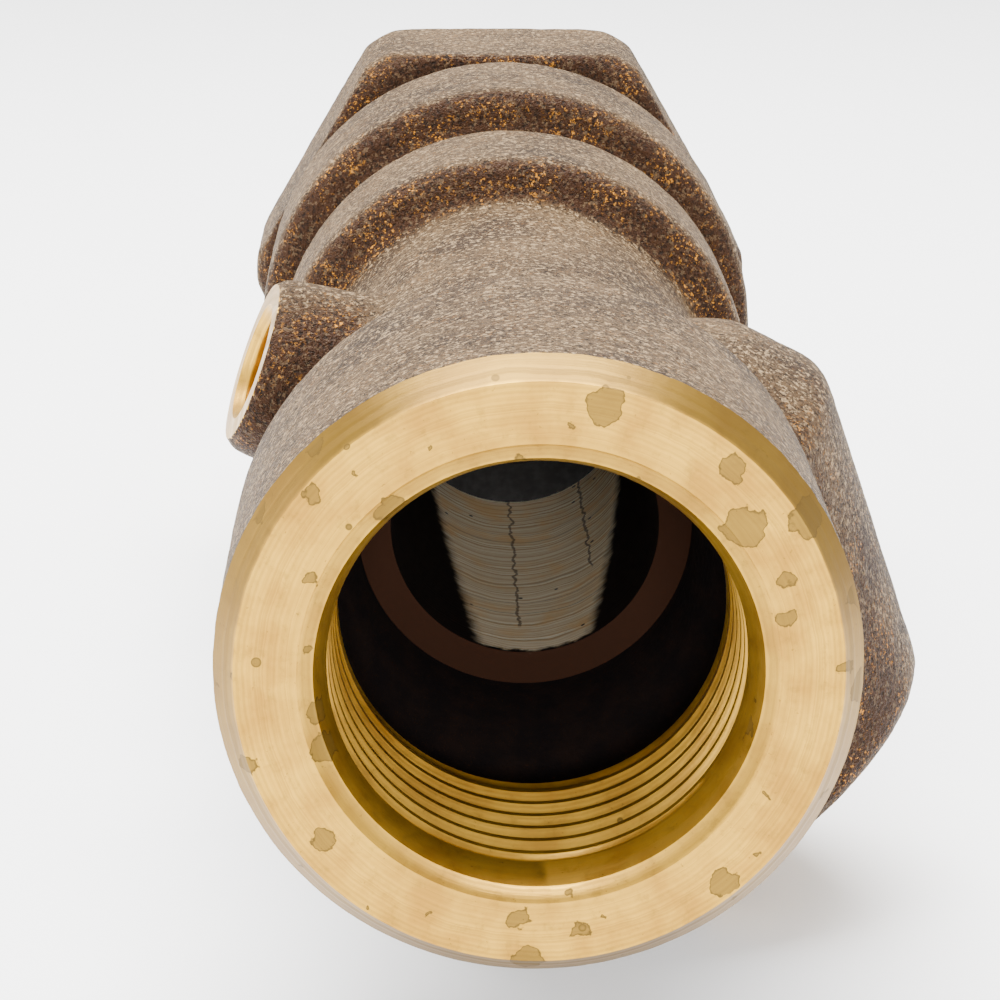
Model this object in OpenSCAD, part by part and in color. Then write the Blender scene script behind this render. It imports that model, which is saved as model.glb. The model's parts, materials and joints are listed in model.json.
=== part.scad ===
// Pressure relief valve with a cast bronze body and a closed, screwed bonnet.
// The main axis runs along +Y. The inlet face is at y = 0 and faces -Y, and +Z is up.
// The outlet branch points down to the right, and the gauge boss up to the left.

/* [Inlet hub] */
// Outside radius of the inlet hub
hub_r = 22.5; // [22:0.1:24]
// Length of the inlet hub, from the inlet face to its back edge
hub_len = 27.6; // [26.5:0.1:30]
// Radius of the machined inlet face inside its chamfer
face_r = 21; // [20.4:0.1:21.8]
// Crest radius of the inlet pipe thread (1 inch NPT)
inlet_thread_r = 14.7; // [14.6:0.05:14.9]
// Depth at which the inlet thread ends
inlet_thread_end = 17; // [16:0.5:18]

/* [Waist and collar] */
// Radius of the waist behind the inlet hub
waist_r = 17.3; // [17.1:0.1:18]
// Radius of the collar that the bonnet screws into
collar_r = 21.7; // [21.5:0.1:23]
// Distance of the collar's front edge from the inlet face
collar_start = 77.5; // [76:0.1:79]
// Distance of the collar's back face from the inlet face
collar_end = 93.5; // [92:0.1:94]

/* [Outlet branch] */
// Angle of the outlet branch below the horizontal
outlet_drop = 48; // [40:1:60]
// Distance of the outlet axis from the inlet face
outlet_y = 47.4; // [46.8:0.1:50]
// Distance of the outlet face from the main axis
outlet_len = 33.5; // [32:0.1:36]
// Outside radius of the outlet hub
outlet_hub_r = 15.2; // [14.8:0.1:16.5]
// Crest radius of the outlet pipe thread (half inch NPT)
outlet_thread_r = 9.15; // [9.1:0.05:9.25]

/* [Gauge boss] */
// Angle of the gauge boss above the horizontal
gauge_rise = 20; // [15:1:30]
// Lean of the gauge boss towards the inlet
gauge_lean = 6; // [0:1:8]
// Distance of the gauge boss from the inlet face, where it meets the main axis
gauge_y = 59.6; // [57:0.1:62]
// Distance of the gauge boss face from the main axis
gauge_len = 24; // [23:0.1:26]
// Outside radius of the gauge boss
gauge_r = 7.6; // [7.2:0.1:8.5]
// Crest radius of the gauge pipe thread (one eighth inch NPT)
gauge_thread_r = 4.35; // [4.25:0.05:4.4]

/* [Nozzle and disc] */
// Bore radius of the nozzle
nozzle_bore_r = 10.6; // [10:0.1:10.8]
// Outside radius of the nozzle
nozzle_r = 13.2; // [13:0.1:13.4]
// Distance of the nozzle's inlet end from the inlet face
nozzle_start = 36.4; // [36:0.1:38]
// Distance of the seat from the inlet face
seat_y = 78.9; // [78.5:0.1:79.5]
// Radius of the rubber seat disc
disc_r = 12.6; // [12.3:0.1:12.8]
// Lift of the disc at full discharge
disc_lift = 5; // [3:0.5:5]

/* [Bonnet] */
// Radius of the bonnet's round collar
ring_r = 23.9; // [23:0.1:24.4]
// Width of the bonnet's hexagon across its flats
hex_flats = 46.2; // [46:0.1:47]
// Distance of the hexagon's far face from the inlet face
hex_end = 148.2; // [147:0.1:150]
// Bore radius that guides the disc holder
guide_r = 13.9; // [13.7:0.1:14.1]

/* [Adjuster and cap] */
// Nominal radius of the adjusting screw thread (M14)
screw_r = 7; // [6.5:0.5:7]
// Width of the lock nut across its flats
nut_flats = 21; // [20:0.5:21]
// Outside radius of the cap
cap_r = 16.1; // [16:0.1:17]
// Length of the cap
cap_len = 32; // [32:0.5:34]
// Width of the cap's hexagon across its flats
cap_flats = 24; // [22:0.5:25]

/* [Spring] */
// Mean coil radius of the spring
spring_r = 9.9; // [9.7:0.1:10.1]
// Wire radius of the spring
wire_r = 1.2; // [1:0.05:1.3]
// Number of working coils between the closed end coils
spring_turns = 3.5; // [3:0.5:4]

/* [Hidden] */
$fn = 72;
// Radial gap of every running or screwed fit
fit_gap = 0.05;
// How far a cutting shape reaches past the face it cuts through
over = 1;

// Body: cast edge roundings, chamfer of the inlet face, and hollows
edge_r = 1.8;
root_r = 2.6;
collar_edge_r = 1.3;
face_chamfer = 2;
undercut_r = 17.9;
throat_r = 14.6;
chamber_start = 62.9;
duct_near = [21.5, 49.6];
duct_far = [14.6, 84.9];
duct_r = 5.7;
duct_wall = 2.9;
outlet_thread_start = 15.7;
gauge_thread_start = 16.5;
gauge_way_r = 1.3;

// Nozzle: O-ring groove and seat lip
groove_y = 44.1;
groove_len = 2.1;
groove_depth = 1.65;
seat_relief = 0.8;
seat_lip = 1;

// Disc, its holder and the parts they carry
disc_t = 3.3;
disc_hole_r = 3.5;
holder_y = seat_y + disc_t;
holder_end = 103.1;
flange_t = 3.5;
holder_neck_r = 8.8;
piston_y = 90.4;
seal_groove_y = 92.6;
band_groove_y = 97.1;
piston_groove_len = 2.2;
piston_groove_depth = 1.75;
screw_hole_r = 2.9;
shank_r = screw_hole_r - fit_gap;
washer_y = seat_y - 1.3;
washer_r = 6.6;
head_t = 3;
head_r = 4.9;
slot_w = 1.3;
slot_depth = 1.3;
stem_r = 3.3;
stem_y = holder_y + 10.1;
stem_end = 122.4;
clip_groove_r = 2.55;
clip_y = holder_end + 4;
clip_t = 0.8;

// Spring and its buttons
button_r = 12.1;
button_t = 3.8;
button_rim_t = 2.2;
button_boss_r = 7.5;
spring_seat = holder_end + button_rim_t;
upper_button_y = 129.5;
upper_rim_t = 2.6;
upper_button_end = 134.6;
upper_hub_r = 7.2;
ball_r = 2.75;
ball_gap = 0.02;
ball_inset = 0.35;
ball_y = upper_button_end + ball_r * ball_inset;

// Bonnet
gasket_t = 1.1;
bonnet_start = collar_end + gasket_t;
spigot_r = 17.5;
spigot_start = 84.9;
lead_in = 0.9;
groove_r = 19.2;
ring_root_r = 2.2;
ring_start = 101.2;
ring_end = 120.8;
hex_start = 128.2;
hex_corner_r = 25.8;
hex_chamfer = 1.5;
guide_end = holder_end + disc_lift;
stop_groove_depth = 1.15;
stop_groove_len = 1.5;
spring_bore_r = 15.7;
roof_y = 140.1;
roof_len = 6.6;
neck_r = 14.3;
neck_end = 156.6;

// Adjusting screw, lock nut and cap
screw_start = ball_y + ball_r * ball_inset;
screw_end = 172;
screw_tip = 2.2;
screw_chamfer = 1.1;
driver_slot = [2 * screw_r + 2, 4.4, 2];
lock_washer_t = 1.3;
lock_washer_r = 11.7;
nut_h = 7.7;
nut_y = neck_end + lock_washer_t;
cap_start = hex_end + gasket_t;
cap_end = cap_start + cap_len;
cap_hex_h = 10;
cap_hex_chamfer_r = 12.3;
cap_nut_room_r = 13;
cap_nut_room_len = 13.2;
cap_screw_room_r = 7.9;
cap_top_t = 3.3;

// Bronze, steel, rubber, plastic and fibre colours
cast_bronze = "#8f7c68";
machined_bronze = "#d9b877";
steel = "#a9abad";
rubber = "#1c1b1a";
plastic = "#e8e4da";
fibre = "#7a4a35";

// Turns shapes made along +Z to lie along +Y, starting at y.
module along_axis(y = 0)
    translate([0, y, 0]) rotate([-90, 0, 0]) children();

// Turns shapes made along +Z to point out of the outlet branch.
module along_outlet()
    translate([0, outlet_y, 0]) rotate([0, 90 + outlet_drop, 0]) children();

// Turns shapes made along +Z to point out of the gauge boss.
module along_gauge()
    translate([0, gauge_y, 0]) rotate([0, gauge_rise - 90, 0]) rotate([gauge_lean, 0, 0]) children();

// A ring, or a disc where the inner radius is 0, along the main axis.
module ring(y, length, outer, inner = 0)
    along_axis(y) difference() {
        cylinder(h = length, r = outer);
        if (inner > 0) translate([0, 0, -over]) cylinder(h = length + 2 * over, r = inner);
    }

// An O-ring round the main axis.
module o_ring(y, mean_r, section_r = 0.8)
    along_axis(y) rotate_extrude() translate([mean_r, 0]) circle(r = section_r, $fn = 24);

// Points of an arc in a profile, from angle a0 to angle a1.
function arc(x, y, r, a0, a1, steps = 6) =
    [for (i = [0:steps]) let (a = a0 + (a1 - a0) * i / steps) [x + r * cos(a), y + r * sin(a)]];

// Outer skin of the body: hub, waist and collar, as a profile of radius and distance.
module body_turned()
    along_axis() rotate_extrude() polygon(concat(
        [[0, 0], [face_r, 0], [hub_r, face_chamfer]],
        arc(hub_r - edge_r, hub_len - edge_r, edge_r, 0, 90),
        arc(waist_r + root_r, hub_len + root_r, root_r, 270, 180),
        arc(collar_r - 1.9, collar_start - 2.4, 2, 180, 90),
        arc(collar_r - edge_r, collar_start + 1.4, edge_r, 270, 360),
        arc(collar_r - collar_edge_r, collar_end - collar_edge_r, collar_edge_r, 0, 90),
        [[0, collar_end]]));

// Flared chamber and hub of the outlet, as a profile round the outlet axis.
module outlet_outer()
    along_outlet() rotate_extrude() polygon(concat(
        [[0, -3.3], [12.1, -3.3], [18.8, -1.3], [22.3, 2.2]],
        arc(21.2, 9, 3.5, 350, 385),
        arc(outlet_hub_r - edge_r, outlet_len - edge_r, edge_r, 25, 90),
        [[0, outlet_len]]));

// Duct from the disc chamber in the collar to the outlet.
module duct(radius)
    let (run = duct_far - duct_near, tilt = atan2(run[0], run[1]))
        rotate([0, outlet_drop, 0]) translate([duct_near[0], duct_near[1], 0])
            rotate([0, 0, -tilt]) rotate([-90, 0, 0]) cylinder(h = norm(run), r = radius);

// Tapered gauge boss with a rounded rim, as a profile round its own axis.
module gauge_outer()
    along_gauge() rotate_extrude() polygon(concat(
        [[0, 8.8], [gauge_r + 2.6, 8.8], [gauge_r + 0.8, gauge_thread_start]],
        arc(gauge_r - 1.1, gauge_len - 1.1, 1.1, 0, 90),
        [[0, gauge_len]]));

// Hollows of the body along the main axis, from the inlet to the bonnet thread.
module body_hollow()
    along_axis() rotate_extrude() polygon([
        [0, -over], [inlet_thread_r, -over], [inlet_thread_r, inlet_thread_end],
        [undercut_r, inlet_thread_end + 0.7], [undercut_r, 24.3], [throat_r, 29.2],
        [nozzle_r + fit_gap, 33.6], [nozzle_r + fit_gap, chamber_start],
        [throat_r, chamber_start], [throat_r, seat_y - 1.7], [spigot_r + fit_gap, seat_y - 0.6],
        [spigot_r + fit_gap, collar_end + over], [0, collar_end + over]]);

// Body casting: inlet, waist, collar, outlet branch and gauge boss in one piece.
module valve_body()
    color(cast_bronze) difference() {
        union() {
            body_turned();
            outlet_outer();
            duct(duct_r + duct_wall);
            gauge_outer();
        }
        body_hollow();
        difference() {
            along_outlet() translate([0, 0, outlet_thread_start])
                cylinder(h = outlet_len, r = outlet_thread_r);
            ring(chamber_start - 40, 50, nozzle_r + 2);
        }
        duct(duct_r);
        along_gauge() translate([0, 0, gauge_thread_start]) cylinder(h = gauge_len, r = gauge_thread_r);
        along_gauge() translate([0, 0, nozzle_r - 2]) cylinder(h = 7, r = gauge_way_r);
    }

// Tube that carries the inlet flow to the seat, with a raised seat lip.
module nozzle()
    color(machined_bronze) difference() {
        along_axis() rotate_extrude() polygon([
            [nozzle_bore_r, nozzle_start], [nozzle_r, nozzle_start], [nozzle_r, groove_y],
            [nozzle_r - groove_depth, groove_y], [nozzle_r - groove_depth, groove_y + groove_len],
            [nozzle_r, groove_y + groove_len], [nozzle_r, chamber_start],
            [nozzle_r - seat_relief, chamber_start + 1.1], [nozzle_r - seat_relief, seat_y - 1.3],
            [nozzle_bore_r + seat_lip, seat_y], [nozzle_bore_r, seat_y]]);
        // Small hole that passes the inlet pressure to the gauge boss.
        along_gauge() translate([0, 0, nozzle_bore_r - 4]) cylinder(h = 10, r = gauge_way_r);
    }

// Seal between the nozzle and the body.
module nozzle_o_ring()
    color(rubber) o_ring(groove_y + groove_len / 2, nozzle_r - 0.82);

// Rubber disc that closes on the seat.
module seat_disc()
    color(rubber) ring(seat_y, disc_t, disc_r - fit_gap, disc_hole_r);

// Piston that carries the rubber disc and slides in the bonnet's guide bore.
module disc_holder()
    color(machined_bronze) difference() {
        union() {
            ring(holder_y, flange_t, disc_r + 0.9);
            ring(holder_y + flange_t, 5.5, holder_neck_r);
            ring(piston_y, holder_end - piston_y, guide_r - fit_gap);
        }
        for (y = [seal_groove_y, band_groove_y])
            ring(y, piston_groove_len, guide_r + over, guide_r - piston_groove_depth);
        ring(holder_y - over, 7.7, screw_hole_r);
        ring(holder_y + 9.9, holder_end - holder_y, stem_r + fit_gap);
    }

// Washer between the rubber disc and its screw.
module disc_washer()
    color(steel) ring(washer_y, seat_y - washer_y, washer_r, screw_hole_r);

// Slotted screw that clamps the rubber disc to its holder.
module disc_screw()
    color(steel) {
        difference() {
            ring(washer_y - head_t, head_t, head_r);
            translate([-slot_w / 2, washer_y - head_t - over, -head_r - over])
                cube([slot_w, slot_depth + over, 2 * (head_r + over)]);
        }
        ring(washer_y - 0.01, 9.3, shank_r);
    }

// Sliding seal of the piston.
module piston_o_ring()
    color(rubber) o_ring(seal_groove_y + piston_groove_len / 2, guide_r - 0.92);

// Plastic band that guides the piston.
module guide_band()
    color(plastic) ring(band_groove_y + 0.1, piston_groove_len - 0.2, guide_r - fit_gap,
        guide_r - piston_groove_depth + 0.1);

// Rod on the disc holder that keeps the lower spring button and the spring in line.
module guide_stem()
    color(steel) difference() {
        ring(stem_y, stem_end - stem_y, stem_r);
        ring(clip_y - 0.1, clip_t + 0.2, stem_r + over, clip_groove_r);
    }

// Open clip that holds the lower spring button on the stem.
module stem_clip()
    color(steel) difference() {
        ring(clip_y, clip_t, 5.5, clip_groove_r + fit_gap);
        translate([-1.75, clip_y - over, 1.75]) cube([3.5, clip_t + 2 * over, 6.6]);
    }

// Button that takes the lower end of the spring.
module lower_spring_button()
    color(steel) along_axis(holder_end) rotate_extrude() polygon([
        [stem_r + fit_gap, 0], [button_r, 0], [button_r, button_rim_t],
        [button_boss_r + 0.4, button_rim_t], [button_boss_r, button_t],
        [stem_r + fit_gap, button_t]]);

// Height of the spring wire after t turns: the first and last turns lie closed.
function coil_height(t) =
    let (low = spring_seat + wire_r, high = upper_button_y - wire_r, closed = 2 * wire_r)
        low + closed * min(t, 1) + closed * max(0, t - spring_turns - 1)
            + (high - low - 2 * closed) * min(max(t - 1, 0), spring_turns) / spring_turns;
function coil_point(t) = [spring_r * cos(360 * t), coil_height(t), spring_r * sin(360 * t)];

// Helical spring with closed ends, drawn as short straight lengths of wire.
module spring()
    color(steel) {
        steps = 16;
        for (i = [0:(spring_turns + 2) * steps - 1]) hull() {
            translate(coil_point(i / steps)) sphere(r = wire_r, $fn = 8);
            translate(coil_point((i + 1) / steps)) sphere(r = wire_r, $fn = 8);
        }
    }

// Button that takes the upper end of the spring and the thrust ball.
module upper_spring_button()
    color(steel) difference() {
        union() {
            ring(upper_button_y, upper_rim_t, button_r);
            ring(upper_button_y + upper_rim_t, upper_button_end - upper_button_y - upper_rim_t,
                upper_hub_r);
            ring(upper_button_y - 1.5, 1.5, button_boss_r);
        }
        translate([0, ball_y, 0]) sphere(r = ball_r + ball_gap);
        ring(upper_button_y - 3.3, 4, stem_r + 0.2);
    }

// Ball that lets the adjusting screw turn without turning the spring.
module thrust_ball()
    color(steel) translate([0, ball_y, 0]) sphere(r = ball_r);

// Open ring in the bonnet that stops the piston at full lift.
module lift_stop_ring()
    color(steel) difference() {
        ring(guide_end + 0.1, stop_groove_len - 0.2, guide_r + stop_groove_depth - fit_gap, guide_r - 1.1);
        translate([-3.3, guide_end - over, 8.8]) cube([6.6, stop_groove_len + 2 * over, 8.8]);
    }

// Hexagon with rounded corners, its flats level at top and bottom.
module rounded_hex(y, length)
    along_axis(y) intersection() {
        cylinder(h = length, r = hex_flats / sqrt(3), $fn = 6);
        cylinder(h = length, r = hex_corner_r);
        cylinder(h = length, r1 = hex_corner_r - hex_chamfer, r2 = hex_corner_r - hex_chamfer + length);
        cylinder(h = length, r2 = hex_corner_r - hex_chamfer, r1 = hex_corner_r - hex_chamfer + length);
    }

// Round parts of the bonnet: spigot, groove, collar and neck.
module bonnet_turned()
    along_axis() rotate_extrude() polygon(concat(
        [[0, spigot_start], [spigot_r - lead_in, spigot_start], [spigot_r, spigot_start + lead_in],
        [spigot_r, bonnet_start], [groove_r, bonnet_start], [groove_r, ring_start - ring_root_r]],
        arc(groove_r + ring_root_r, ring_start - ring_root_r, ring_root_r, 180, 90),
        arc(ring_r - edge_r, ring_start + edge_r, edge_r, 270, 360),
        arc(ring_r - edge_r, ring_end - edge_r, edge_r, 0, 90),
        arc(groove_r + ring_root_r, ring_end + ring_root_r, ring_root_r, 270, 180),
        [[groove_r, hex_start + over], [groove_r, hex_end - over], [neck_r, hex_end - over],
        [neck_r, neck_end - lead_in], [neck_r - lead_in, neck_end], [0, neck_end]]));

// Bonnet casting, with the guide bore, the spring's room and the screw's bore.
module bonnet()
    color(cast_bronze) difference() {
        union() {
            bonnet_turned();
            rounded_hex(hex_start, hex_end - hex_start);
        }
        along_axis() rotate_extrude() polygon([
            [0, spigot_start - over], [guide_r + lead_in, spigot_start - over],
            [guide_r, spigot_start + lead_in], [guide_r, guide_end],
            [guide_r + stop_groove_depth, guide_end],
            [guide_r + stop_groove_depth, guide_end + stop_groove_len],
            [guide_r, guide_end + stop_groove_len], [guide_r, guide_end + 3.3],
            [spring_bore_r, guide_end + 5.1], [spring_bore_r, roof_y - roof_len],
            [screw_r + 3.3, roof_y], [screw_r + fit_gap, roof_y],
            [screw_r + fit_gap, neck_end + over], [0, neck_end + over]]);
    }

// Gasket between the body's collar and the bonnet.
module bonnet_gasket()
    color(fibre) ring(collar_end, gasket_t, groove_r, spigot_r + fit_gap);

// Adjusting screw with a slotted end and a cup for the thrust ball.
module adjusting_screw()
    color(machined_bronze) difference() {
        union() {
            ring(screw_start, screw_tip, screw_r - 1.3);
            ring(screw_start + screw_tip, screw_end - screw_start - screw_tip - screw_chamfer, screw_r);
            along_axis(screw_end - screw_chamfer)
                cylinder(h = screw_chamfer, r1 = screw_r, r2 = screw_r - screw_chamfer);
        }
        translate([0, ball_y, 0]) sphere(r = ball_r + ball_gap);
        translate([-driver_slot[0] / 2, screw_end + over - driver_slot[1], -driver_slot[2] / 2])
            cube(driver_slot);
    }

// Washer under the lock nut.
module lock_washer()
    color(steel) ring(neck_end, lock_washer_t, lock_washer_r, screw_r + 0.3);

// Hexagon nut that locks the adjusting screw, with both ends chamfered.
module lock_nut()
    color(machined_bronze) along_axis(nut_y) difference() {
        chamfer_r = nut_flats / 2 + 0.4;
        intersection() {
            cylinder(h = nut_h, r = nut_flats / sqrt(3), $fn = 6);
            cylinder(h = nut_h, r1 = chamfer_r, r2 = chamfer_r + nut_h * 1.7);
            cylinder(h = nut_h, r2 = chamfer_r, r1 = chamfer_r + nut_h * 1.7);
        }
        translate([0, 0, -over]) cylinder(h = nut_h + 2 * over, r = screw_r + fit_gap);
    }

// Gasket between the bonnet and the cap.
module cap_gasket()
    color(fibre) ring(hex_end, gasket_t, 15.9, neck_r + fit_gap);

// Closed cap that screws on the bonnet's neck, with a hexagon at its end.
module cap()
    color(machined_bronze) difference() {
        union() {
            along_axis(cap_start) cylinder(h = cap_len - cap_hex_h, r = cap_r);
            along_axis(cap_end - cap_hex_h) intersection() {
                cylinder(h = cap_hex_h, r = cap_flats / sqrt(3), $fn = 6);
                cylinder(h = cap_hex_h, r1 = cap_hex_chamfer_r + cap_hex_h, r2 = cap_hex_chamfer_r);
            }
        }
        ring(cap_start - over, neck_end + 0.4 - cap_start + over, neck_r + fit_gap);
        ring(neck_end, cap_nut_room_len, cap_nut_room_r);
        ring(neck_end, cap_end - cap_top_t - neck_end, cap_screw_room_r);
    }

valve_body();
nozzle();
nozzle_o_ring();
seat_disc();
disc_holder();
disc_washer();
disc_screw();
piston_o_ring();
guide_band();
guide_stem();
stem_clip();
lower_spring_button();
spring();
upper_spring_button();
thrust_ball();
lift_stop_ring();
bonnet();
bonnet_gasket();
adjusting_screw();
lock_washer();
lock_nut();
cap_gasket();
cap();
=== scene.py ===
"""Pressure relief valve: cast bronze skins, turned faces, real threads and studio light."""
import json
import math

import bmesh
import bpy
import numpy as np
from mathutils import Matrix, Vector, noise


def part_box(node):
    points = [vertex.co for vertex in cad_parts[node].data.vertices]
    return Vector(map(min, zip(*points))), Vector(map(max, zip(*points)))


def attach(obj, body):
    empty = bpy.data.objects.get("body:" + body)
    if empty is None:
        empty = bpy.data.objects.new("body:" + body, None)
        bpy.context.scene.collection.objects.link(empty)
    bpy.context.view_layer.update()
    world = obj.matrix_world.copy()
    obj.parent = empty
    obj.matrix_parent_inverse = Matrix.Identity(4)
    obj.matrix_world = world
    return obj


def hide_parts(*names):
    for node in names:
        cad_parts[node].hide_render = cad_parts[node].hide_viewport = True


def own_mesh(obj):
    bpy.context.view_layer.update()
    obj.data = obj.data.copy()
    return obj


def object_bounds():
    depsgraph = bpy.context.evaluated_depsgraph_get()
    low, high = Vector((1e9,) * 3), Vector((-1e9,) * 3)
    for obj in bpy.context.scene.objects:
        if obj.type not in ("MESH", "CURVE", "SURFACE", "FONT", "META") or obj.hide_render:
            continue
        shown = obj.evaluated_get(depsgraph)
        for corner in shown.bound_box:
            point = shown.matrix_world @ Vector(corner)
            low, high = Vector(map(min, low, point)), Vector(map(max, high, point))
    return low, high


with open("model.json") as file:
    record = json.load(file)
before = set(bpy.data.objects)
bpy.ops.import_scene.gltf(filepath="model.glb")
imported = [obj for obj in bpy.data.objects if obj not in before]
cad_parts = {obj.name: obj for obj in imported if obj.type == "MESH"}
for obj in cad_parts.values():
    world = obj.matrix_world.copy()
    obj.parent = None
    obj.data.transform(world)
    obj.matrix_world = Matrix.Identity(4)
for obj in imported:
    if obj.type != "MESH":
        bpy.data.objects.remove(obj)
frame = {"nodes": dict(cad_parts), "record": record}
cad_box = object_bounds()
nodes = frame["nodes"]
mounts = {m["name"]: m for m in frame["record"]["mounts"]}

MM = 0.001

# Sizes in millimetres, from the frame where the frame has them.
HUB_R = 22.5
FACE_R = 21.0
COLLAR_R = 21.7
OUTLET_HUB_R = 15.2
GAUGE_R = 7.6
NECK_R = 14.3
HEX_FACE_R = 22.6
FACE_SLOPE = 2.0 / (HUB_R - FACE_R)
MOUTH_R = 16.65
UNDERCUT_R = 17.9
NOZZLE_R = 13.25
THROAT_R = 14.6
THROAT_START = 29.2
UNDERCUT_END = 24.3
NOZZLE_HOLE_START = 33.6
CHAMBER_START = 62.9
INLET_PITCH = 25.4 / 11.5
INLET_R = mounts["inlet"]["dims"]["r_mm"]
OUTLET_R = mounts["outlet"]["dims"]["r_mm"]
GAUGE_HOLE_R = mounts["gauge_port"]["dims"]["r_mm"]
OUTLET_LEN = 33.5
GAUGE_LEN = 24.0
THREAD_START = 2.9
THREAD_END = mounts["inlet"]["dims"]["length_mm"]
COLLAR_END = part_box("bonnet_gasket")[0].y / MM
HEX_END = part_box("cap_gasket")[0].y / MM
NOZZLE_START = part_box("nozzle")[0].y / MM
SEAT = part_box("nozzle")[1].y / MM
NECK_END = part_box("lock_washer")[0].y / MM
BONNET_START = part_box("bonnet_gasket")[1].y / MM
SPIGOT_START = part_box("bonnet")[0].y / MM
SPIGOT_R = 17.5
SPIGOT_HOLE_R = 17.55
GUIDE_R = 13.9
DUCT_R = 5.7
SCREW_R = 7.05
VOXEL = 0.42


# ---------------------------------------------------------------- mesh helpers

def aim(origin, direction):
    """Placement, in millimetres, whose local +Z points along direction."""
    turn = Vector(direction).to_track_quat("Z", "Y").to_matrix().to_4x4()
    return Matrix.Translation(Vector(origin)) @ turn


MAIN = aim((0, 0, 0), (0, 1, 0))


def port_frame(name):
    """Placement on a branch: the origin is on the main axis, and +Z runs out to its face."""
    mount = mounts[name]
    axis = Vector(mount["axis"]).normalized()
    point = Vector(mount["pos_m"]) / MM
    start = point - axis * ((point.x * axis.x + point.z * axis.z) / (axis.x ** 2 + axis.z ** 2))
    return aim(start, axis)


OUTLET = port_frame("outlet")
GAUGE = port_frame("gauge_port")
OUTLET_DOWN = Vector((mounts["outlet"]["axis"][0], 0, mounts["outlet"]["axis"][2])).normalized()


def mesh_object(name, bm):
    """Makes a linked object of a bmesh given in millimetres."""
    mesh = bpy.data.meshes.new(name)
    bmesh.ops.scale(bm, vec=(MM, MM, MM), verts=bm.verts)
    bm.to_mesh(mesh)
    bm.free()
    obj = bpy.data.objects.new(name, mesh)
    bpy.context.scene.collection.objects.link(obj)
    return obj


def revolve(name, rows, place=MAIN, segments=128):
    """Closed solid of revolution. A row is (radius, height), or a function of the turn."""
    bm = bmesh.new()
    columns = []
    for i in range(segments + 1):
        turn = i / segments
        column = []
        for row in rows:
            radius, height = row(turn) if callable(row) else row
            angle = 2 * math.pi * turn
            spot = Vector((radius * math.cos(angle), radius * math.sin(angle), height))
            column.append(bm.verts.new(place @ spot))
        columns.append(column)
    for left, right in zip(columns, columns[1:]):
        for k in range(len(rows) - 1):
            bm.faces.new((left[k], right[k], right[k + 1], left[k + 1]))
    bmesh.ops.remove_doubles(bm, verts=bm.verts, dist=1e-4)
    bmesh.ops.dissolve_degenerate(bm, dist=1e-5, edges=bm.edges)
    bmesh.ops.recalc_face_normals(bm, faces=bm.faces)
    return mesh_object(name, bm)


def rod(radius, start, end):
    """Rows of a plain rod, for revolve()."""
    return [(0, start), (radius, start), (radius, end), (0, end)]


def thread_rows(start, end, crest, depth, pitch, taper=1 / 32, per_turn=8):
    """Rows of a tapered internal thread: each row follows the helix."""
    def row(step):
        def at(turn):
            along = (step / per_turn + turn - 1) * pitch
            along = min(max(along, 0.0), end - start)
            phase = (along / pitch - turn) % 1.0
            groove = max(0.0, 1 - abs(phase - 0.5) / 0.38)
            ends = min(1.0, along / (0.6 * pitch), (end - start - along) / (0.6 * pitch))
            return crest - taper * along + depth * groove * max(0.0, ends), start + along
        return at
    count = int(math.ceil((end - start) / pitch + 1) * per_turn) + 1
    return [row(step) for step in range(count)]


def ridges(start, end, crest, depth, pitch):
    """Radius and depth of the grooves of a small internal thread, one groove per pitch."""
    rows = []
    for turn in range(int((end - start) / pitch)):
        top = start + turn * pitch
        rows += [(crest, top), (crest + depth, top + 0.4 * pitch), (crest, top + 0.8 * pitch)]
    return rows


def join(name, parts):
    """Joins meshes into one object without merging them."""
    bm = bmesh.new()
    for part in parts:
        bm.from_mesh(part.data)
    bmesh.ops.scale(bm, vec=(1 / MM,) * 3, verts=bm.verts)
    for part in parts:
        bpy.data.objects.remove(part)
    return mesh_object(name, bm)


def apply_modifier(obj, kind, **settings):
    """Adds a modifier, applies it and keeps the result in the mesh."""
    modifier = obj.modifiers.new(kind.title(), kind)
    for key, value in settings.items():
        setattr(modifier, key, value)
    graph = bpy.context.evaluated_depsgraph_get()
    made = bpy.data.meshes.new_from_object(obj.evaluated_get(graph))
    obj.modifiers.clear()
    obj.data = made


def cut(obj, tool):
    """Cuts the tool out of the object and removes the tool."""
    apply_modifier(obj, "BOOLEAN", operation="DIFFERENCE", solver="MANIFOLD", object=tool)
    bpy.data.objects.remove(tool)


def roughen(obj, amplitude, scale):
    """Uneven sand-mould surface: moves points along their normals by smooth noise."""
    mesh = obj.data
    count = len(mesh.vertices)
    co = np.empty(count * 3)
    normal = np.empty(count * 3)
    mesh.vertices.foreach_get("co", co)
    mesh.vertices.foreach_get("normal", normal)
    co = co.reshape(-1, 3)
    normal = normal.reshape(-1, 3)
    for i in range(count):
        spot = Vector(co[i]) / (scale * MM)
        height = noise.noise(spot) + 0.5 * noise.noise(spot * 2.3) + 0.3 * noise.noise(spot * 5.1)
        co[i] += normal[i] * height * amplitude * MM
    mesh.vertices.foreach_set("co", co.ravel())
    mesh.update()


def cast_blank(name, node, risers):
    """Skin of a casting: the CAD solid and its unmachined stock, fused, rounded and roughened."""
    copy = bpy.data.objects.new(name, nodes[node].data.copy())
    copy.data.transform(nodes[node].matrix_world)
    bpy.context.scene.collection.objects.link(copy)
    blank = join(name, [copy] + risers)
    apply_modifier(blank, "REMESH", mode="VOXEL", voxel_size=VOXEL * MM)
    apply_modifier(blank, "SMOOTH", factor=0.5, iterations=22)
    roughen(blank, 0.045, 1.6)
    return blank


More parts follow.
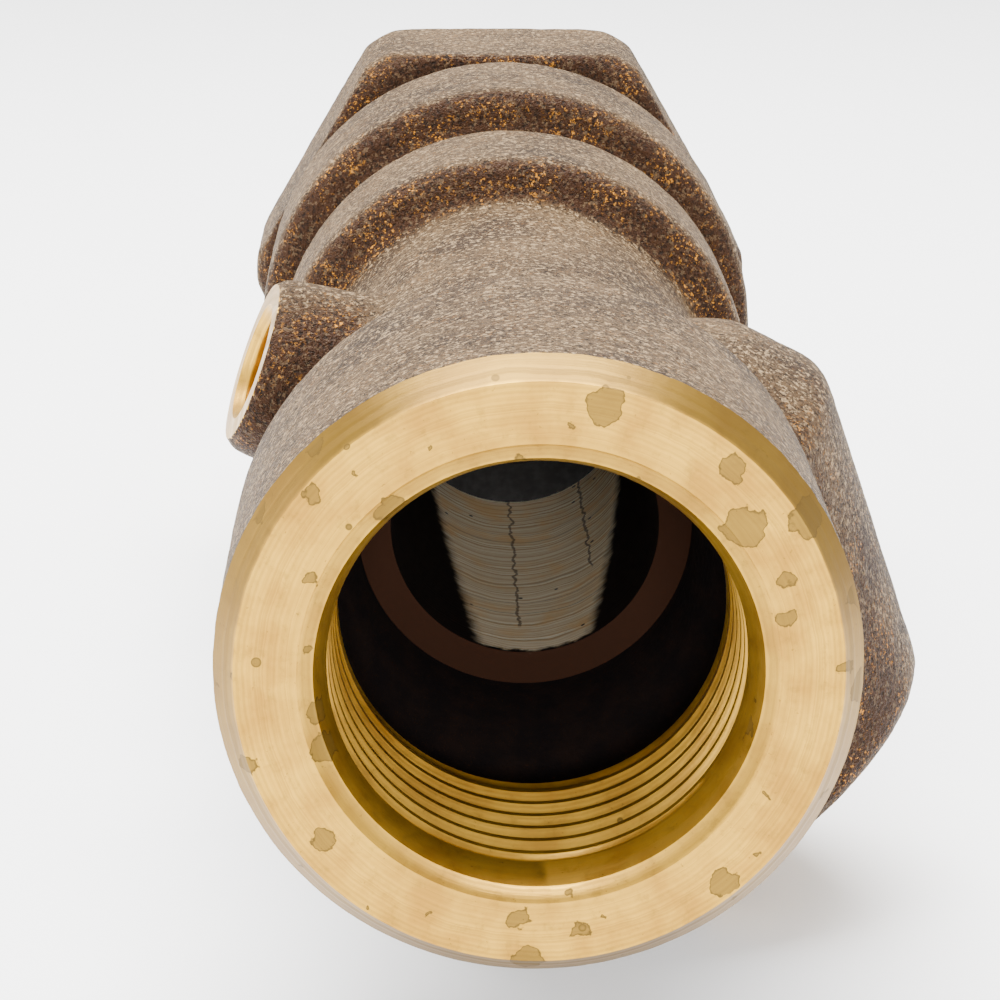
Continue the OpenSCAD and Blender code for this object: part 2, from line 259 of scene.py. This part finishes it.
def finish_mesh(obj, materials, choose, sharp=32):
    """Gives each face its material by where it is, and shades it smooth between sharp edges."""
    mesh = obj.data
    mesh.materials.clear()
    for material in materials:
        mesh.materials.append(material)
    for face in mesh.polygons:
        face.material_index = choose(face.center / MM, face.normal)
    mesh.shade_smooth()
    mesh.set_sharp_from_angle(angle=math.radians(sharp))


# ---------------------------------------------------------------- shader helpers

class Shader:
    """A small builder for one procedural material."""

    def __init__(self, name):
        self.material = bpy.data.materials.new(name)
        self.material.use_nodes = True
        self.tree = self.material.node_tree
        self.surface = self.tree.nodes["Principled BSDF"]
        self.place = self.add("ShaderNodeTexCoord").outputs["Object"]

    def add(self, kind, inputs=None, **settings):
        made = self.tree.nodes.new(kind)
        for key, value in settings.items():
            setattr(made, key, value)
        for key, value in (inputs or {}).items():
            self.put(made.inputs[key], value)
        return made

    def put(self, socket, value):
        if isinstance(value, bpy.types.NodeSocket):
            self.tree.links.new(value, socket)
        else:
            socket.default_value = value

    def noise(self, size_mm, detail=4.0, rough=0.55, place=None, distortion=0.0):
        """Noise whose features are about size_mm across."""
        made = self.add("ShaderNodeTexNoise", {
            "Vector": place or self.place, "Scale": 1 / (size_mm * MM), "Detail": detail,
            "Roughness": rough, "Distortion": distortion})
        return made.outputs["Fac"]

    def cells(self, size_mm, randomness=1.0, feature="F1", place=None):
        return self.add("ShaderNodeTexVoronoi", {
            "Vector": place or self.place, "Scale": 1 / (size_mm * MM),
            "Randomness": randomness}, feature=feature)

    def math(self, operation, a, b=0.0, c=0.0, clamp=False):
        made = self.add("ShaderNodeMath", operation=operation, use_clamp=clamp)
        self.put(made.inputs[0], a)
        self.put(made.inputs[1], b)
        self.put(made.inputs[2], c)
        return made.outputs[0]

    def ramp(self, value, low, high, to_low=0.0, to_high=1.0, smooth=True):
        made = self.add("ShaderNodeMapRange", {
            "Value": value, "From Min": low, "From Max": high, "To Min": to_low, "To Max": to_high})
        made.interpolation_type = "SMOOTHSTEP" if smooth else "LINEAR"
        return made.outputs["Result"]

    def mix(self, factor, a, b, blend="MIX"):
        made = self.add("ShaderNodeMix", data_type="RGBA", blend_type=blend)
        self.put(made.inputs["Factor"], factor)
        self.put(made.inputs["A"], a)
        self.put(made.inputs["B"], b)
        return made.outputs["Result"]

    def axis(self, which, place=None):
        made = self.add("ShaderNodeSeparateXYZ", {"Vector": place or self.place})
        return made.outputs[which]

    def radius(self):
        """Distance from the main axis, in millimetres."""
        x = self.axis("X")
        z = self.axis("Z")
        square = self.math("ADD", self.math("MULTIPLY", x, x), self.math("MULTIPLY", z, z))
        return self.math("MULTIPLY", self.math("SQRT", square), 1 / MM)

    def along(self):
        """Distance along the main axis, in millimetres."""
        return self.math("MULTIPLY", self.axis("Y"), 1 / MM)

    def vector(self, operation, a, b=(0.0, 0.0, 0.0), scale=1.0):
        made = self.add("ShaderNodeVectorMath", {0: a, 1: b, 3: scale}, operation=operation)
        return made.outputs["Vector"]

    def lines(self, position, width_mm):
        """Uneven parallel lines, about width_mm apart, across a position in millimetres."""
        made = self.add("ShaderNodeTexNoise", {
            "W": self.math("MULTIPLY", position, 1 / width_mm), "Scale": 1.0, "Detail": 3.0,
            "Roughness": 0.6}, noise_dimensions="1D")
        return made.outputs["Fac"]

    def bump(self, height, strength, distance_mm, under=None):
        inputs = {"Height": height, "Strength": strength, "Distance": distance_mm * MM}
        if under is not None:
            inputs["Normal"] = under
        return self.add("ShaderNodeBump", inputs).outputs["Normal"]

    def finish(self, **inputs):
        for key, value in inputs.items():
            self.put(self.surface.inputs[key.replace("_", " ")], value)
        return self.material


def rgb(red, green, blue):
    """Linear colour from the eight-bit values that an eye or a camera gives."""
    def linear(v):
        v = v / 255
        return v / 12.92 if v <= 0.04045 else ((v + 0.055) / 1.055) ** 2.4
    return (linear(red), linear(green), linear(blue), 1.0)


# ---------------------------------------------------------------- materials

TOP_LIGHT = rgb(88, 68, 44)
TOP_DARK = rgb(54, 39, 24)
# Darker brown of the painted shade on faces turned to the inlet.
FRONT_SHADE_BROWN = rgb(50, 28, 10)
# Gold of the grains and of their painted glints.
GRAIN_GLINT_GOLD = rgb(208, 138, 42)
GOLD_LIGHT = rgb(190, 146, 44)
GOLD_DARK = rgb(160, 116, 32)
GOLD_OLIVE = rgb(96, 72, 22)
STAIN = rgb(104, 80, 26)
STAIN_EDGE = rgb(52, 38, 12)
# Colours of the painted pool of light along the bottom of the nozzle bore, and of its marks.
LIT_BORE_PALE = rgb(250, 238, 212)
LIT_BORE_DIM = rgb(206, 178, 134)
LIT_BORE_WARM = rgb(232, 184, 112)
BORE_MARK = rgb(96, 70, 42)


def cast_bronze():
    """Sand-cast bronze: grey-brown oxide with golden grains, and painted shade on the faces turned
    to the inlet.
    """
    s = Shader("cast_bronze")
    patches = s.noise(9.0, 3.0)
    grain = s.noise(0.30, 2.0, 0.8)
    pits = s.cells(0.55).outputs["Distance"]
    lumps = s.noise(1.3, 3.0)
    # Painted shade: faces turned to the inlet, towards the camera, are mixed to a darker brown.
    facing = s.math("MULTIPLY", s.add("ShaderNodeSeparateXYZ", {
        "Vector": s.add("ShaderNodeNewGeometry").outputs["Normal"]}).outputs["Y"], -1.0)
    brown = s.ramp(s.math("ADD", facing, s.math("MULTIPLY", patches, 0.5)), 0.35, 1.0)
    top = s.mix(s.ramp(patches, 0.35, 0.7), TOP_LIGHT, TOP_DARK)
    skin = s.mix(brown, top, FRONT_SHADE_BROWN)
    shade = s.ramp(s.math("ADD", grain, s.math("MULTIPLY", pits, 0.25)), 0.46, 0.66)
    dark = s.mix(shade, s.mix(0.85, skin, rgb(16, 9, 4)), skin)
    # Light specks, more on the upper faces: partly grain, partly a painted highlight.
    pale_grain_highlight = s.ramp(s.noise(0.50, 2.0, 0.8), 0.54, 0.62)
    pale_grain_highlight = s.math("MULTIPLY", pale_grain_highlight, s.ramp(brown, 0.0, 1.0, 0.60, 0.12))
    dark = s.mix(pale_grain_highlight, dark, rgb(170, 144, 108))
    # Golden grains, more on the faces turned to the inlet: partly grain, partly painted glints.
    spots = s.ramp(s.noise(0.38, 2.0, 0.8), 0.56, 0.68)
    gold = s.math("MULTIPLY", spots, s.ramp(brown, 0.0, 1.0, 0.16, 0.72))
    cloud = s.ramp(s.noise(3.5, 3.0), 0.40, 0.62)
    colour = s.mix(s.math("MULTIPLY", gold, cloud), dark, GRAIN_GLINT_GOLD)
    height = s.math("ADD", s.math("MULTIPLY", grain, 0.6), s.math("MULTIPLY", lumps, 0.4))
    rough = s.ramp(grain, 0.3, 0.7, 0.70, 0.50)
    return s.finish(Base_Color=colour, Metallic=0.1, Roughness=rough, Specular_IOR_Level=0.12,
                    Normal=s.bump(height, 1.0, 0.9))


# Spacing of the water stains on the inlet face, in millimetres.
STAIN_SPACING = 4.6


def stains(s):
    """How far inside a water stain a point of the inlet face is, as a share of their spacing."""
    bend = s.add("ShaderNodeTexNoise", {"Vector": s.place, "Scale": 1 / (1.1 * MM), "Detail": 3.0})
    moved = s.vector("SCALE", s.vector("SUBTRACT", bend.outputs["Color"], (0.5, 0.5, 0.5)),
                     scale=1.7 * MM)
    point = s.vector("ADD", s.place, moved)
    flat = s.add("ShaderNodeCombineXYZ", {"X": s.axis("X", point), "Y": s.axis("Z", point)})
    spots = s.add("ShaderNodeTexVoronoi", {
        "Vector": flat.outputs["Vector"], "Scale": 1 / (STAIN_SPACING * MM)},
        voronoi_dimensions="2D")
    chance = s.axis("X", spots.outputs["Color"])
    size = s.ramp(chance, 0.45, 1.0, 0.05, 0.34, smooth=False)
    return s.math("SUBTRACT", size, spots.outputs["Distance"])


def machined_bronze():
    """Turned bronze: gold, with fine rings about the main axis, stains and specks."""
    s = Shader("machined_bronze")
    wobble = s.math("MULTIPLY", s.noise(2.5, 2.0), 0.35)
    rings = s.lines(s.math("ADD", s.radius(), wobble), 0.30)
    turns = s.lines(s.math("ADD", s.along(), s.math("MULTIPLY", wobble, 0.5)), 0.22)
    clouds = s.noise(5.0, 4.0, 0.6)
    base = s.mix(s.ramp(clouds, 0.35, 0.68), GOLD_LIGHT, GOLD_DARK)
    base = s.mix(s.ramp(rings, 0.35, 0.65, 0.0, 0.25), base, GOLD_OLIVE)
    mottle = s.ramp(s.noise(1.2, 4.0, 0.7), 0.52, 0.70, 0.0, 0.30)
    base = s.mix(mottle, base, GOLD_OLIVE)
    # Small drops everywhere, and the larger stains of the inlet face.
    drops = s.cells(3.2)
    pick = s.axis("X", drops.outputs["Color"])
    small = s.math("SUBTRACT", s.ramp(pick, 0.72, 1.0, 0.0, 0.17, smooth=False),
                   drops.outputs["Distance"])
    small_body = s.ramp(small, 0.0, 0.02)
    small_edge = s.math("MULTIPLY", small_body, s.ramp(small, 0.01, 0.05, 1.0, 0.0))
    depth = stains(s)
    on_face = s.ramp(s.along(), 1.6, 1.9, 1.0, 0.0)
    large_body = s.math("MULTIPLY", s.ramp(depth, 0.0, 0.02), on_face)
    large_edge = s.math("MULTIPLY", large_body, s.ramp(depth, 0.015, 0.05, 1.0, 0.0))
    body = s.math("MAXIMUM", small_body, large_body)
    edge = s.math("MAXIMUM", small_edge, large_edge)
    tinted = s.mix(s.math("MULTIPLY", body, 0.80), base, STAIN)
    tinted = s.mix(s.math("MULTIPLY", edge, 0.70), tinted, STAIN_EDGE)
    specks = s.ramp(s.noise(0.45, 2.0, 0.8), 0.66, 0.74)
    tinted = s.mix(s.math("MULTIPLY", specks, 0.45), tinted, STAIN_EDGE)
    # Painted shade: the chamfer outside the face is darker, and so is the whole inside of the
    # mouth, the thread and the bore, burr line and thread roots included.
    edge_radius = s.math("ADD", s.radius(), s.math("MULTIPLY", wobble, 0.6))
    chamfer = s.ramp(edge_radius, FACE_R, FACE_R + 0.3)
    near_face = s.ramp(s.along(), 2.3, 2.6, 1.0, 0.0)
    tinted = s.mix(s.math("MULTIPLY", s.math("MULTIPLY", chamfer, near_face), 0.8), tinted,
                   GOLD_OLIVE)
    # Painted shade inside the mouth, the thread and the bore.
    inside = s.math("MULTIPLY", s.ramp(s.radius(), MOUTH_R - 0.3, MOUTH_R, 1.0, 0.0),
                    s.ramp(s.along(), 60.0, 62.0, 1.0, 0.0))
    tinted = s.mix(s.math("MULTIPLY", inside, 0.30), tinted, GOLD_OLIVE)
    rough = s.math("ADD", s.ramp(rings, 0.3, 0.7, 0.30, 0.42), s.math("MULTIPLY", body, 0.12))
    relief = s.math("ADD", s.math("MULTIPLY", rings, 0.5), s.math("MULTIPLY", turns, 0.5))
    return s.finish(Base_Color=tinted, Metallic=0.8, Roughness=rough,
                    Normal=s.bump(relief, 0.25, 0.08))


def shaded_cavity():
    """Inside of the body: as-cast oxide with a brown cast, darkened to almost black as painted
    shade.
    """
    s = Shader("shaded_cavity")
    mottled = s.noise(2.2, 4.0)
    colour = s.mix(s.ramp(mottled, 0.35, 0.7), rgb(13, 8, 8), rgb(22, 13, 10))
    return s.finish(Base_Color=colour, Roughness=0.9, Specular_IOR_Level=0.1,
                    Normal=s.bump(s.noise(0.5, 3.0), 0.4, 0.2))


def nozzle_bronze():
    """Nozzle: dark painted shadow over the bore, with a painted pool of light along the bottom of
    the bore.
    """
    s = Shader("nozzle_bronze")
    y = s.along()
    angle = s.math("ARCTAN2", s.axis("X"), s.math("MULTIPLY", s.axis("Z"), -1.0))
    bent = s.math("MULTIPLY", s.math("SUBTRACT", s.noise(1.6, 4.0), 0.5), 0.12)
    angle = s.math("ADD", angle, bent)
    # Painted pool of light: a strip along the bottom of the bore that widens with depth, as light
    # through the mouth would fall.
    left = s.math("ADD", angle, s.ramp(y, NOZZLE_START, SEAT, 0.34, 0.80, smooth=False))
    right = s.math("SUBTRACT", s.ramp(y, NOZZLE_START, SEAT, 0.52, 1.25, smooth=False), angle)
    lip = s.math("ADD", y, s.math("MULTIPLY", s.noise(1.0, 3.0), 1.6))
    light_pool = s.math("MULTIPLY", s.ramp(left, -0.05, 0.09), s.ramp(right, -0.05, 0.09))
    light_pool = s.math("MULTIPLY", light_pool, s.ramp(lip, NOZZLE_START + 1.0, NOZZLE_START + 1.8))
    light_pool = s.math("MULTIPLY", light_pool, s.ramp(s.radius(), 10.75, 10.85, 1.0, 0.0))
    # Colour inside the painted pool of light: turned rings, warm clouds, grooves, pores and two
    # cracks.
    drift = s.math("MULTIPLY", s.noise(6.0, 2.0), 2.2)
    rings = s.lines(s.math("ADD", y, drift), 0.45)
    lit_patch = s.mix(s.ramp(rings, 0.34, 0.66), LIT_BORE_PALE, LIT_BORE_DIM)
    lit_patch = s.mix(s.ramp(s.noise(4.0, 3.0), 0.45, 0.75, 0.0, 0.6), lit_patch, LIT_BORE_WARM)
    grooves = s.ramp(s.lines(s.math("ADD", y, drift), 1.3), 0.66, 0.70, 0.0, 0.55)
    lit_patch = s.mix(grooves, lit_patch, BORE_MARK)
    pores = s.ramp(s.cells(2.4).outputs["Distance"], 0.06, 0.10, 1.0, 0.0)
    lit_patch = s.mix(pores, lit_patch, rgb(20, 12, 8))
    for turn, start in ((-0.02, NOZZLE_START + 6), (0.62, NOZZLE_START + 16)):
        away = s.math("ABSOLUTE", s.math("SUBTRACT", angle, turn))
        crack = s.math("MULTIPLY", s.ramp(away, 0.006, 0.016, 0.75, 0.0),
                       s.ramp(y, start, start + 1))
        lit_patch = s.mix(crack, lit_patch, BORE_MARK)
    # Painted shadow on the rest of the bore, a little lighter on the nozzle's end face.
    shadowed_wall = s.mix(s.noise(3.0, 3.0), rgb(12, 7, 6), rgb(24, 13, 9))
    end_face = s.ramp(y, NOZZLE_START + 0.05, NOZZLE_START + 0.1, 1.0, 0.0)
    shadowed_wall = s.mix(end_face, shadowed_wall, rgb(44, 24, 13))
    return s.finish(Base_Color=s.mix(light_pool, shadowed_wall, lit_patch),
                    Metallic=s.ramp(light_pool, 0.0, 1.0, 0.0, 0.35),
                    Roughness=s.ramp(light_pool, 0.0, 1.0, 0.85, 0.45),
                    Specular_IOR_Level=s.ramp(light_pool, 0.0, 1.0, 0.1, 0.5),
                    Normal=s.bump(rings, 0.35, 0.15))


def turned_steel(name, tint, rough):
    """Turned or drawn steel: fine streaks under cloudy shading."""
    s = Shader(name)
    streaks = s.noise(0.4, 3.0)
    clouds = s.noise(4.0, 3.0)
    shade = s.mix(s.ramp(clouds, 0.35, 0.7), tint, tuple(0.7 * c for c in tint[:3]) + (1.0,))
    return s.finish(Base_Color=shade, Metallic=1.0,
                    Roughness=s.ramp(streaks, 0.3, 0.7, rough, rough + 0.12),
                    Normal=s.bump(streaks, 0.15, 0.05))


def soft_sheet(name, light, dark, rough):
    """Rubber, fibre or plastic: fine mottling and a soft sheen."""
    s = Shader(name)
    mottled = s.noise(0.8, 4.0)
    colour = s.mix(s.ramp(mottled, 0.3, 0.7), light, dark)
    return s.finish(Base_Color=colour, Roughness=s.ramp(mottled, 0.3, 0.7, rough, rough + 0.15),
                    Normal=s.bump(mottled, 0.3, 0.08))


CAST = cast_bronze()
TURNED = machined_bronze()
CAVITY = shaded_cavity()
NOZZLE = nozzle_bronze()
STEEL = turned_steel("turned_steel", rgb(196, 196, 194), 0.28)
SPRING = turned_steel("spring_steel", rgb(150, 152, 156), 0.34)
DARK_STEEL = turned_steel("dark_steel", rgb(30, 26, 23), 0.5)
RUBBER = soft_sheet("rubber", rgb(8, 7, 7), rgb(14, 12, 12), 0.8)
FIBRE = soft_sheet("fibre", rgb(122, 66, 44), rgb(92, 46, 32), 0.7)
PLASTIC = soft_sheet("guide_plastic", rgb(226, 222, 210), rgb(206, 200, 186), 0.4)


# ---------------------------------------------------------------- castings

def body_skin():
    """Valve body: cast outside, with turned faces, threads and bores cut into it."""
    stock = [
        revolve("inlet_stock", rod(HUB_R, -2.5, 24)),
        revolve("collar_stock", rod(COLLAR_R - 1.5, COLLAR_END - 8, COLLAR_END + 2)),
        revolve("outlet_stock", rod(OUTLET_HUB_R - 2.0, OUTLET_LEN - 7, OUTLET_LEN + 2), OUTLET),
        revolve("gauge_stock", rod(GAUGE_R - 1.2, GAUGE_LEN - 7, GAUGE_LEN + 1.6), GAUGE)]
    skin = cast_blank("valve_body_skin", "valve_body", stock)
    far = 29.0
    cut(skin, revolve("inlet_cutter", [
        (0, -6), (far, -6), (far, (far - FACE_R) * FACE_SLOPE), (FACE_R, 0), (MOUTH_R, 0),
        (MOUTH_R - 0.35, 0.3), (INLET_R + 0.85, 0.5), (INLET_R + 0.75, 0.7),
        (INLET_R, THREAD_START)]
        + thread_rows(THREAD_START, THREAD_END, INLET_R, 1.0, INLET_PITCH)
        + [(UNDERCUT_R, THREAD_END + 0.7), (UNDERCUT_R, UNDERCUT_END), (THROAT_R, THROAT_START),
           (NOZZLE_R, NOZZLE_HOLE_START), (NOZZLE_R, CHAMBER_START), (THROAT_R, CHAMBER_START),
           (THROAT_R, 77.2), (SPIGOT_HOLE_R, 78.3), (SPIGOT_HOLE_R, COLLAR_END),
           (far, COLLAR_END), (far, COLLAR_END + 6), (0, COLLAR_END + 6)]))
    cut(skin, revolve("outlet_cutter", [
        (0, OUTLET_LEN + 5), (20, OUTLET_LEN + 5), (20, OUTLET_LEN), (OUTLET_R + 1.4, OUTLET_LEN),
        (OUTLET_R, OUTLET_LEN - 1.4)]
        + [(r, OUTLET_LEN - h) for r, h in ridges(1.6, 13.0, OUTLET_R, 0.8, 25.4 / 14)]
        + [(OUTLET_R, 15.8), (0, 15.8)], OUTLET))
    cut(skin, revolve("gauge_cutter", [
        (0, GAUGE_LEN + 4), (12, GAUGE_LEN + 4), (12, GAUGE_LEN), (GAUGE_HOLE_R + 0.7, GAUGE_LEN),
        (GAUGE_HOLE_R, GAUGE_LEN - 0.8)]
        + [(r, GAUGE_LEN - h) for r, h in ridges(0.9, 6.8, GAUGE_HOLE_R, 0.4, 25.4 / 27)]
        + [(GAUGE_HOLE_R, 16.5), (1.3, 16.0), (1.3, 12), (0, 12)], GAUGE))
    cut(skin, revolve("gauge_passage", rod(1.3, 10, 18), GAUGE))
    duct_start = OUTLET @ Vector((0, 0, 21.5))
    duct_end = Vector((OUTLET_DOWN.x * 14.6, 84.9, OUTLET_DOWN.z * 14.6))
    duct = duct_start - duct_end
    cut(skin, revolve("duct_cutter", rod(DUCT_R, -0.5, duct.length), aim(duct_end, duct)))
    outlet_inverse = OUTLET.inverted()
    gauge_inverse = GAUGE.inverted()

    def choose(spot, normal):
        radius = math.hypot(spot.x, spot.z)
        outlet_spot = outlet_inverse @ spot
        gauge_spot = gauge_inverse @ spot
        if spot.y < THREAD_END + 0.3 and radius < INLET_R + 2:
            return 1
        if spot.y < 3 and chamfer_depth(spot.y, radius) < 0.04:
            return 1
        outlet_r = math.hypot(outlet_spot.x, outlet_spot.y)
        gauge_r = math.hypot(gauge_spot.x, gauge_spot.y)
        if outlet_spot.z > OUTLET_LEN - 0.03 and outlet_r < OUTLET_HUB_R:
            return 1
        if gauge_spot.z > GAUGE_LEN - 0.03 and gauge_r < GAUGE_R:
            return 1
        if outlet_r < OUTLET_R + 1.5 and outlet_spot.z > 16:
            return 1
        if gauge_r < GAUGE_HOLE_R + 0.8 and gauge_spot.z > 14:
            return 1
        if spot.y > COLLAR_END - 0.02:
            return 1
        # Inward faces of the undercut and throat get the near-black cavity finish, painted shade
        # over the oxide.
        if radius < UNDERCUT_R + 0.1 and THREAD_END < spot.y < COLLAR_END:
            inward = normal.x * spot.x + normal.z * spot.z < 0
            return 2 if inward or radius < 16.5 else 0
        return 0

    finish_mesh(skin, [CAST, TURNED, CAVITY], choose)
    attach(skin, "body")
    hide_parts("valve_body")


def chamfer_depth(y, radius):
    """How far a point lies below the inlet face and its chamfer, in millimetres."""
    return min(abs(y), abs(y - (radius - FACE_R) * FACE_SLOPE) / math.hypot(1, FACE_SLOPE))


def bonnet_skin():
    """Bonnet: cast ring and hexagon, with a turned neck, end face and bores."""
    stock = [revolve("neck_stock", rod(NECK_R + 1.5, HEX_END - 2, NECK_END + 1.5)),
             revolve("hexagon_stock", rod(HEX_FACE_R, HEX_END - 2, HEX_END + 1.5)),
             revolve("spigot_stock", rod(SPIGOT_R + 1.4, SPIGOT_START - 1.5, BONNET_START + 1))]
    skin = cast_blank("bonnet_skin", "bonnet", stock)
    far = 29.0
    cut(skin, revolve("neck_cutter", [
        (NECK_R, HEX_END), (far, HEX_END), (far, NECK_END + 4), (0, NECK_END + 4), (0, NECK_END),
        (NECK_R - 0.8, NECK_END), (NECK_R, NECK_END - 0.8), (NECK_R, HEX_END)]))
    cut(skin, revolve("spigot_cutter", [
        (SPIGOT_R, BONNET_START), (SPIGOT_R, SPIGOT_START), (0, SPIGOT_START),
        (0, SPIGOT_START - 4), (far, SPIGOT_START - 4), (far, BONNET_START),
        (SPIGOT_R, BONNET_START)]))
    cut(skin, revolve("bonnet_bore", [
        (0, 80), (GUIDE_R, 80), (GUIDE_R, 111.4), (15.7, 113.2), (15.7, 133.5), (10.3, 140.1),
        (SCREW_R, 140.1), (SCREW_R, 165), (0, 165)]))

    def choose(spot, normal):
        radius = math.hypot(spot.x, spot.z)
        if spot.y > HEX_END - 0.02 and radius < HEX_FACE_R + 0.3:
            return 1
        if spot.y < BONNET_START + 0.02 or radius < 15.8:
            return 1
        return 0

    finish_mesh(skin, [CAST, TURNED], choose)
    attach(skin, "body")
    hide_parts("bonnet")


def spring_coil():
    """Spring: the CAD coil again, as a piece of its own on the body."""
    coil = bpy.data.objects.new("spring_coil", nodes["spring"].data.copy())
    coil.data.transform(nodes["spring"].matrix_world)
    bpy.context.scene.collection.objects.link(coil)
    finish_mesh(coil, [SPRING], lambda spot, normal: 0, sharp=50)
    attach(coil, "body")
    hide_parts("spring")
    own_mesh(coil)


body_skin()
bonnet_skin()
spring_coil()

FINISHES = {
    "nozzle": NOZZLE, "nozzle_o_ring": RUBBER, "seat_disc": RUBBER, "disc_holder": TURNED,
    "disc_washer": DARK_STEEL, "disc_screw": DARK_STEEL, "piston_o_ring": RUBBER,
    "guide_band": PLASTIC, "guide_stem": STEEL, "stem_clip": STEEL, "lower_spring_button": STEEL,
    "upper_spring_button": STEEL, "thrust_ball": STEEL, "lift_stop_ring": STEEL,
    "bonnet_gasket": FIBRE, "adjusting_screw": TURNED, "lock_washer": STEEL, "lock_nut": TURNED,
    "cap_gasket": FIBRE, "cap": TURNED}
for node_name, finish in FINISHES.items():
    slots = nodes[node_name].material_slots
    for slot in slots:
        slot.material = finish


# ---------------------------------------------------------------- camera, floor and light

def look(obj, location, forward, up):
    """Places an object that looks along its own -Z, in metres."""
    back = -Vector(forward).normalized()
    side = Vector(up).cross(back).normalized()
    rise = back.cross(side)
    turn = Matrix((side, rise, back)).transposed().to_4x4()
    obj.matrix_world = Matrix.Translation(Vector(location)) @ turn


CAMERA_LENS = 119.7
CAMERA_AT = (-0.007655, -0.21486, 0.07577)
CAMERA_FORWARD = (0.02166, 0.95935, -0.28140)
CAMERA_UP = (0, 0.28146, 0.95958)


def add_camera():
    """Camera in front of the inlet and above it, at the photo's viewing angle."""
    data = bpy.data.cameras.new("camera")
    data.lens = CAMERA_LENS
    data.sensor_width = 36
    data.clip_start = 0.01
    camera = bpy.data.objects.new("camera", data)
    bpy.context.scene.collection.objects.link(camera)
    look(camera, CAMERA_AT, CAMERA_FORWARD, CAMERA_UP)
    bpy.context.scene.camera = camera


def add_light(name, location, target, size, power, colour=(1, 1, 1)):
    data = bpy.data.lights.new(name, "AREA")
    data.shape = "RECTANGLE"
    data.size, data.size_y = size
    data.energy = power
    data.color = colour
    lamp = bpy.data.objects.new(name, data)
    bpy.context.scene.collection.objects.link(lamp)
    look(lamp, location, Vector(target) - Vector(location), (0, 0, 1))


def add_floor():
    """Pale floor just under the lowest point of the valve."""
    level = cad_box[0][2] - 0.0002
    bm = bmesh.new()
    corners = [(-3, -3), (3, -3), (3, 3), (-3, 3)]
    bm.faces.new([bm.verts.new((x / MM, y / MM, level / MM)) for x, y in corners])
    floor = mesh_object("floor", bm)
    s = Shader("floor")
    tone = s.mix(s.noise(60.0, 2.0), rgb(253, 253, 253), rgb(250, 250, 250))
    floor.data.materials.append(s.finish(Base_Color=tone, Roughness=0.7))


def add_world():
    world = bpy.data.worlds.new("studio")
    bpy.context.scene.world = world
    world.use_nodes = True
    sky = world.node_tree.nodes["Background"]
    sky.inputs["Color"].default_value = (1, 1, 1, 1)
    sky.inputs["Strength"].default_value = 1.6


add_camera()
add_floor()
add_world()
middle = (0.0, 0.07, 0.0)
add_light("top_softbox", (-0.05, 0.18, 0.60), middle, (0.6, 0.6), 23.0)
add_light("front_card", (0.02, -0.55, 0.155), (0, 0.05, -0.01), (0.16, 0.08), 3.6)
add_light("left_fill", (-0.6, -0.1, 0.15), middle, (0.4, 0.4), 3.0)
